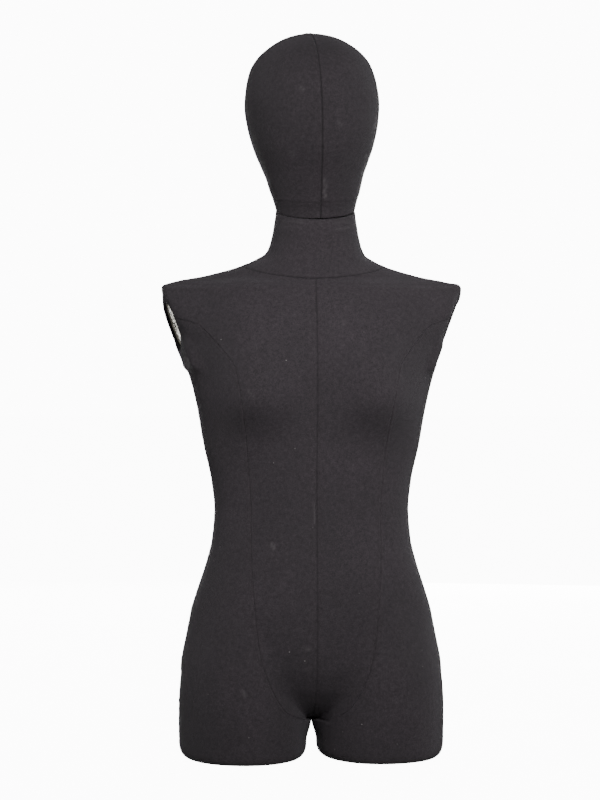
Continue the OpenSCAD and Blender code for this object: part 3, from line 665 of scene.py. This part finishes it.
# Front, princess, side, back princess and back seam: where each one runs, and how dark the shade painted
# along its line is
SEAM_DEPTH, SHOULDER_SEAM_Z = 0.65, 592
BODY_SEAMS = (
    (1, ~below & (rows_up < COLLAR_Z), 0.45), (2, ~on_arm & ~below, 0.16),
    (3, ~on_arm | (rows_up > SHOULDER_SEAM_Z), 0.16), (4, ~on_arm & ~below, 0.16), (5, ~below, 0.45),
)
for number, runs, dark in BODY_SEAMS:
    away = seam_distance(SEAM_COLUMN[number])
    twin = SEAM_COLUMN[number] == c_front
    seam = twin_relief(away, rows_up, number) if twin else seam_relief(away, rows_up, number, SEAM_DEPTH)
    relief += np.where(runs, seam, 0)
    body_painted_shade = np.minimum(body_painted_shade, np.where(runs, painted_shade_by_seam(away) * dark, 0))
# Below the crotch there is a seam on the inside of the thigh
relief += np.where(below, seam_relief(seam_distance(0), rows_up, 6), 0)
collar = np.abs(UP - UP[np.searchsorted(Z, COLLAR_Z)][None, :])
at_collar = np.abs(rows_up - COLLAR_Z) < 25
relief += np.where(at_collar, seam_relief(collar, ALONG, 7, 1.0), 0)
# The collar seam's line is darkened with painted shade as well
body_painted_shade = np.minimum(body_painted_shade, np.where(at_collar, painted_shade_by_seam(collar, 1.1) * 0.6, 0))
# The cloth rises over the bead's outer edge, and creases under the neck's top
relief += 0.8 * bead_height(LOCAL[..., 1]) * bell(np.maximum(RIM, 0), 11)
relief += 0.4 * waves(ALONG * 0.08, rows_up, 32, 2.2) * bell(rows_up - (NECK_Z - 11), 9)
JERSEY_GRID = BODY_GRID + BODY_OUT * relief[..., None]

# The cloth bridges the hollow between the bead's foot and the ribs, 14 to 68 mm below the armhole's centre
BRIDGE_OUT = BEAD_H + 1.2
over_arm = JERSEY_GRID @ ARM_NORMAL - ARM_OFFSET
hollow = ease((LOCAL[..., 2] + 5) / 5) * band(LOCAL[..., 0], 14, 28, 56, 68) * (RIM < FAR)
bridge = softened(np.maximum(BRIDGE_OUT - over_arm, 0) * hollow, 3) * (RIM > -2)
JERSEY_GRID += ARM_NORMAL * bridge[..., None]

# Between the thighs the cloth draws together to a point under the crotch
DRAWN_IN, DRAWN_FROM_Z, DRAWN_DEPTH, DRAWN_TO_X, APART = 6.2, 18, 42, 32, 0.4
inner, forward = JERSEY_GRID[..., 0], JERSEY_GRID[..., 1]
drawn = ease((rows_up - DRAWN_FROM_Z) / (CROTCH_Z - DRAWN_FROM_Z)) * below
drawn = drawn * bell(forward - THIGH_Y, DRAWN_DEPTH) * ease((DRAWN_TO_X - inner) / 20)
JERSEY_GRID[..., 0] -= np.minimum(DRAWN_IN * drawn, inner - APART) * (inner > APART)
# On the middle plane the cloth stays on its own side
JERSEY_GRID[..., 0] = np.maximum(JERSEY_GRID[..., 0], 0)

# The panels: which cells of the grid each one covers
i_crotch, i_arm, i_collar = (int(np.searchsorted(Z, v)) for v in (CROTCH_Z, ARM_SEAM_Z, COLLAR_Z))
cell_i, cell_j = np.mgrid[0:len(Z) - 1, 0:BODY_GRID.shape[1]]
open_cell = RIM[:-1] > -0.6
in_body = (cell_i >= i_crotch) & (cell_i < i_collar)
high = cell_i >= i_arm
PANELS = {
    "front_centre": in_body & (cell_j >= c_front) & (cell_j < np.where(high, c_side, c_princess)),
    "back_centre": in_body & (cell_j < c_back) & (cell_j >= np.where(high, c_side, c_back_princess)),
    "front_side": ~high & (cell_j < c_side) & ((cell_i < i_crotch) | (cell_j >= c_princess)),
    "back_side": ~high & (cell_j >= c_side) & ((cell_i < i_crotch) | (cell_j < c_back_princess)),
    "collar": (cell_i >= i_collar) & (cell_j >= c_front) & (cell_j < c_back),
}
# Each point's place on the cloth, and the painted seam shade there
cloth_uv = np.stack([ALONG - ALONG[:, [c_side]], rows_up, body_painted_shade], -1)

# The cloth turns in at the hem and at the neck: how far in each row lies, and its lift at each edge
LIP_IN, LIP_UP, HEM_UP = (0.5, 1.6, 4, 8), (0.12, 0.2, 0.18, 0.1), (-0.35, -0.55, -0.6, -0.5)
N_LIP = len(LIP_IN)


def turned_in(edge, x, y, lift, tilt=0):
    """Rows of cloth turned in from an edge towards (x, y), each one higher by its lift."""
    inward = ([x, y, 0] - edge) * [1, 1, 0]
    inward /= np.linalg.norm(inward, axis=-1, keepdims=True)
    rows = [edge + inward * step + [0, 0, up] for step, up in zip(LIP_IN, lift)]
    for row in rows:
        row[..., 2] += tangent(tilt) * (row[..., 1] - edge[..., 1])
    return rows


neck_lip = turned_in(JERSEY_GRID[-1], 0, AXIS_Y, LIP_UP, NECK_TILT)
hem_lip = turned_in(JERSEY_GRID[0], THIGH_X, THIGH_Y, HEM_UP)


def mirrored(points, faces, s):
    """The piece for the form's left (s = 1) or right side."""
    return (points, faces) if s > 0 else (points * [-1, 1, 1], faces[:, ::-1])


def sway(points):
    """The neck stands a little to the form's left of the middle."""
    shift = NECK_SHIFT * ease((points[..., 2:] - SHOULDER_Z) / 55)
    return points + np.concatenate([shift, 0 * shift, 0 * shift], -1)


def area_of(points, faces):
    a, b, c, d = (points[faces[:, i]] for i in range(4))
    return np.linalg.norm(np.cross(c - a, d - b), axis=1).sum() / 2


def declare_stretched(points, faces):
    """The cloth's area less the share STRETCH, and a width that would hold it at the piece's height; nothing
    is kept or returned.
    """
    size = points.max(0) - points.min(0)
    area = area_of(points, faces) * MM ** 2 / STRETCH
    height = size[2] * MM
    width = max(size[0], size[1]) * MM
    while width * height < area:
        width *= 1.05


# Small marks and creases in front, in mm: from and to (across, up), half width, lift and how pale
MARKS = (
    ((-3.5, 329), (-3.0, 304), 0.9, 0.0, 0.2), ((-57, 277), (-54, 273), 1.7, 0.0, 0.4),
    ((49, 506), (56, 499), 1.6, -0.45, 0.0), ((-18, 148), (-10, 146), 1.5, 0.0, 0.25),
    ((-88, 470), (-80, 462), 1.4, 0.0, 0.2), ((-96, 96), (-92, 90), 1.6, 0.0, 0.3),
    ((30, 560), (34, 552), 1.3, 0.0, 0.2), ((72, 210), (80, 203), 1.6, -0.3, 0.0),
    ((-44, 689), (-20, 685), 1.0, 0.3, 0.13), ((-42, 682), (-24, 679), 0.9, 0.25, 0.1),
    ((18, 684), (40, 688), 1.0, 0.35, 0.14), ((22, 677), (42, 681), 1.0, 0.3, 0.12),
)


def marked(points, uv, s, marks, direction):
    """The points lifted, and their wear and painted shade, by the marks on the side s of the front."""
    in_front = points[..., 1] < 0
    lift, wear_and_shade = 0, 0
    for start, end, size, up, pale in marks:
        from_start, along_mark = points[..., [0, 2]] * [s, 1] - start, np.subtract(end, start)
        t = np.clip(from_start @ along_mark / (along_mark @ along_mark), 0, 1)
        near = bell(np.linalg.norm(from_start - t[..., None] * along_mark, axis=-1), size) * in_front
        lift, wear_and_shade = lift + up * near, wear_and_shade + pale * near
    return points + direction * np.asarray(lift)[..., None], uv + np.stack([0 * wear_and_shade, 0 * wear_and_shade, wear_and_shade], -1)


# The seam allowance stands up at the shoulder tip, more at the form's left shoulder
TIP_BEYOND, TIP_R, TIP_UP = 11, 11, {"left": 4.0, "right": 0.4}
tip = bell(np.linalg.norm(LOCAL + [ARM_A + BEAD_W + TIP_BEYOND, 0, 0], axis=-1), TIP_R)
for s, side in SIDES:
    with_tip = JERSEY_GRID + BODY_OUT * (tip * TIP_UP[side])[..., None]
    worn_grid, uv_with_wear_and_shade = marked(with_tip, cloth_uv, s, MARKS, BODY_OUT)
    edged_grid = np.concatenate([hem_lip[::-1], worn_grid, neck_lip])
    edged_uv = np.concatenate([uv_with_wear_and_shade[:1]] * N_LIP + [uv_with_wear_and_shade] + [uv_with_wear_and_shade[-1:]] * N_LIP)
    for name, cells in PANELS.items():
        keep = cells & open_cell
        keep = np.concatenate([keep[:1]] * N_LIP + [keep] + [keep[-1:]] * N_LIP)
        faces = grid_faces(keep, around=True)
        points, faces, uv = used_only(edged_grid.reshape(-1, 3), faces, edged_uv.reshape(-1, 3))
        points, faces = mirrored(points, faces, s)
        points = sway(points)
        label, node = f"panel_{name}_{side}", f"cover_{name}_{side}"
        if name == "collar":
            label, node = f"collar_{side}", f"collar_cover_{side}"
        piece = new_piece(label, points, faces, JERSEY, "torso", uv)
        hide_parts(node)
        declare_stretched(points, faces)


# ---------------------------------------------------------------- the foam under the jersey
def closed_rings(rings):
    """A closed skin from rings of points, with a fan on each end."""
    m, n = rings.shape[:2]
    i, j = np.mgrid[0:m - 1, 0:n]
    k = (j + 1) % n
    sides = np.stack([i * n + j, i * n + k, (i + 1) * n + k, (i + 1) * n + j], -1).reshape(-1, 4)
    points = np.vstack([rings.reshape(-1, 3), rings[0].mean(0), rings[-1].mean(0)])
    j, k = np.arange(n), (np.arange(n) + 1) % n
    low = np.stack([k, j, j * 0 + m * n, j * 0 + m * n], 1)
    top = (m - 1) * n
    high = np.stack([top + j, top + k, j * 0 + m * n + 1, j * 0 + m * n + 1], 1)
    return points, [tuple(dict.fromkeys(f)) for f in np.vstack([sides, low, high]).tolist()]


# The foam has every row of the jersey's grid from the shoulders to FINE_TO_Z, and every other one elsewhere
FINE_TO_Z, END_IN = 665, 9
foam_rows = [
    i for i, z in enumerate(Z)
    if END_IN < z < NECK_Z - END_IN and (i % 2 == 0 or SHOULDER_Z < z < FINE_TO_Z)
]
foam = (BODY_GRID - FOAM_IN * BODY_OUT)[foam_rows][:, ::4]
foam[..., 0] = np.maximum(foam[..., 0], FOAM_IN / 2)
for s, side in SIDES:
    points, faces = closed_rings(sway(foam * [s, 1, 1]))
    faces = faces if s > 0 else [f[::-1] for f in faces]
    piece = new_piece(f"foam_{side}", points, np.array(faces, object), FOAM, "torso")
    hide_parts(f"body_core_{side}")

# ---------------------------------------------------------------- the beads round the armholes
TURNS, ROUND, BEAD_GAP, BEAD_UNEVEN = 96, 16, 0.4, 0.06


def full_turn(steps):
    return np.linspace(0, 2 * np.pi, steps, False)


def bead_points(turn, roll):
    """The bead at an angle round the armhole, a long hole, and an angle round the bead itself."""
    radius = ARM_B + BEAD_W / 2 * (1 - np.cos(roll)) + BEAD_GAP
    x = radius * np.cos(turn) + (ARM_A - ARM_B) * np.clip(4 * np.cos(turn), -1, 1)
    y = radius * np.sin(turn)
    z = bead_height(y) / 2 * (1 + np.sin(roll)) + BEAD_UNEVEN * waves(turn * 30, roll * 3, 9, 3)
    return moved(ARMHOLE, np.stack([x, y, z], -1))


turn, roll = np.meshgrid(full_turn(TURNS), full_turn(ROUND), indexing="ij")
bead = bead_points(turn, roll).reshape(-1, 3)
i, j = np.mgrid[0:TURNS, 0:ROUND]
n, k = (i + 1) % TURNS, (j + 1) % ROUND
bead_faces = np.stack([i * ROUND + j, i * ROUND + k, n * ROUND + k, n * ROUND + j], -1).reshape(-1, 4)
bead_uv = np.stack([turn * (ARM_B + 7), roll * BEAD_W / 2], -1).reshape(-1, 2)
for s, side in SIDES:
    points, faces = mirrored(bead, bead_faces, s)
    piece = new_piece(f"armhole_bead_{side}", points, faces, JERSEY, "torso", bead_uv)
    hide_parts(f"armhole_rim_{side}")

# ---------------------------------------------------------------- the head
HEAD_N, CHIN_Z = 2.05, NECK_Z + 18  # the exponent of the head's ovals, and the height of the chin seam


def head_points(z, angles):
    """Sections of the head, before it is set on the neck. Angles run from the front to the form's left."""
    z = np.asarray(z, float)
    w, front_d, back_d = (c[:, None] for c in curve(HEAD, z).T)
    mid, depth = (back_d - front_d) / 2, (back_d + front_d) / 2
    a = np.radians(angles)[None, :]
    q = (np.abs(np.sin(a)) ** HEAD_N + np.abs(np.cos(a)) ** HEAD_N) ** (-1 / HEAD_N)
    x, y = w * q * np.sin(a), mid - depth * q * np.cos(a)
    tilt = NECK_TILT * (1 - ease((z - NECK_Z - 4) / 50))
    return np.stack([x, y, z[:, None] + tangent(tilt)[:, None] * (y - AXIS_Y)], -1)


def rotation(degrees, axis):
    return Matrix.Rotation(math.radians(degrees), 4, axis)


# From the head's own frame to the form's: set on the pin, then turned, leant and tilted with the neck's top
on_head = (
    Matrix.Translation((NECK_SHIFT, AXIS_Y, NECK_Z)) @ rotation(NECK_TILT, "X")
    @ rotation(-HEAD_LEAN, "Y") @ rotation(HEAD_TURN, "Z") @ rotation(-NECK_TILT, "X")
    @ Matrix.Translation((0, -AXIS_Y, HEAD_GAP - NECK_Z))
)
head_z = np.concatenate([
    NECK_Z + 0.3 + np.arange(0, 30, 1.0), np.arange(735, 900, 3.0), np.arange(900, 922, 1.5),
    CROWN_Z - 9 * (1 - np.arange(0, 1.0001, 0.05)) ** 2,
])
half_turn = 90 * (1 - np.cos(np.pi * np.arange(0, 81) / 80))
half_head = head_points(head_z, half_turn)
# The last row closes on the crown
half_head[-1] = half_head[-1].mean(0) * [0, 1, 1] + [0, 0, 0.3]
normal = outward(half_head, False)
normal[-1] = (0, 0, 1)
normal[:, [0, -1], 0] = 0
along, up = lengths(half_head)
to_back = along[:, -1:] - along
height = JERSEY_OUT + 0.15 * waves(along, up, 21, 24)
height += seam_relief(along, up, 22, 1.0) + seam_relief(to_back, up, 23, 1.0)
# The chin seam lies across the front, and the cloth swells a little above it
chin = np.abs(up - up[np.searchsorted(head_z, CHIN_Z)][None, :])
in_front = ease((100 - half_turn) / 25)[None, :]
swell = 0.5 * bell(up - (CHIN_Z - head_z[0] + 4), 5)
height += (seam_relief(chin, along, 24, 0.5) + swell) * in_front
# The seams meet in a small point on the crown
height[-6:] = height[-6:] * np.linspace(1, 0.2, 6)[:, None]
height += 1.3 * bell(up[-1:] - up, 6)
half_head = half_head + normal * height[..., None]
half_head[..., 0] = np.maximum(half_head[..., 0], 0)
head_lip = turned_in(half_head[0], 0, AXIS_Y, [-v for v in LIP_UP], NECK_TILT)
half_head = np.concatenate([head_lip[::-1], half_head])
head_faces = grid_faces(np.ones((len(half_head) - 1, len(half_turn) - 1), bool))
# The seams on the head and the seam across the chin are darkened: painted shade in their grooves
head_painted_shade = np.minimum(painted_shade_by_seam(along, 1.0), painted_shade_by_seam(to_back, 1.0)) * 0.55
head_painted_shade = np.minimum(head_painted_shade, 0.16 * painted_shade_by_seam(chin, 1.8) * in_front)
head_uv = np.stack([along, up, head_painted_shade], -1)
head_uv = np.concatenate([head_uv[:1]] * N_LIP + [head_uv])
normal = np.concatenate([normal[:1]] * N_LIP + [normal])
# The worn, crumpled patch beside the seam over the chin, a small dent under it darkened with painted shade
# (its paleness below zero), and three small scuffs
HEAD_MARKS = (
    ((4.4, 713), (4.6, 736), 3.2, 0.3, 0.1), ((2.6, 732), (3.2, 734), 1.5, 0.4, 0.26),
    ((6.4, 727), (6.8, 729), 1.6, 0.4, 0.24), ((3.2, 721), (3.8, 723), 1.6, 0.5, 0.32),
    ((5.6, 716), (6.0, 717), 1.5, 0.5, 0.3), ((1.6, 711), (2.2, 711), 1.2, -0.5, -0.5),
    ((-26, 850), (-22, 845), 1.6, 0.0, 0.2),
    ((20, 806), (24, 800), 1.4, 0.0, 0.2), ((-40, 770), (-34, 768), 1.5, 0.0, 0.2),
)
for s, side in SIDES:
    worn_head, uv_with_wear_and_shade = marked(half_head, head_uv, s, HEAD_MARKS, normal)
    points, faces = mirrored(worn_head.reshape(-1, 3), head_faces, s)
    points = moved(on_head, points)
    piece = new_piece(f"head_jersey_{side}", points, faces, JERSEY, "head", uv_with_wear_and_shade.reshape(-1, 3))
    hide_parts(f"head_cover_{side}")
    declare_stretched(points, faces)

foam_z = np.concatenate([np.arange(NECK_Z + 8.5, 900, 6.0), np.arange(900, 930, 3.0)])
head_foam = head_points(foam_z, np.arange(0, 360, 7.5))
head_foam = moved(on_head, head_foam - outward(head_foam, True) * FOAM_IN)
points, faces = closed_rings(head_foam)
piece = new_piece("head_foam", points, np.array(faces, object), FOAM, "head")
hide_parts("head_core")

# ---------------------------------------------------------------- looks of the CAD pieces that show
LOOKS = {
    ARM_METAL: ("arm_plate_left", "arm_plate_right"),
    STEEL: ("arm_plate_screws", "neck_bush", "neck_plate_screws", "thigh_cap_screws", "stand_socket",
            "stand_socket_screws", "head_pin", "head_base_screws"),
    BLACK_BOARD: ("neck_plate", "head_base_plate"),
    PLYWOOD: ("thigh_cap_left", "thigh_cap_right"),
    NYLON: ("neck_washer",),
}
for look, names in LOOKS.items():
    for name in names:
        for slot in bpy.data.objects[name].material_slots:
            slot.material = look

# ---------------------------------------------------------------- floor
FLOOR = grained("floor", (0.3, 0.3, 0.3), (0.34, 0.34, 0.34), 0.8, (4, 4, 4), 0.02)
glow = FLOOR.node_tree.nodes["Principled BSDF"].inputs
glow["Emission Color"].default_value = (1, 1, 1, 1)
shown_brighter(FLOOR.node_tree, glow["Emission Strength"], 0, FLOOR_SHOWN)
bpy.ops.mesh.primitive_circle_add(vertices=96, radius=60, fill_type="NGON")
floor = bpy.context.object
floor.name = "floor"
floor.data.materials.append(FLOOR)
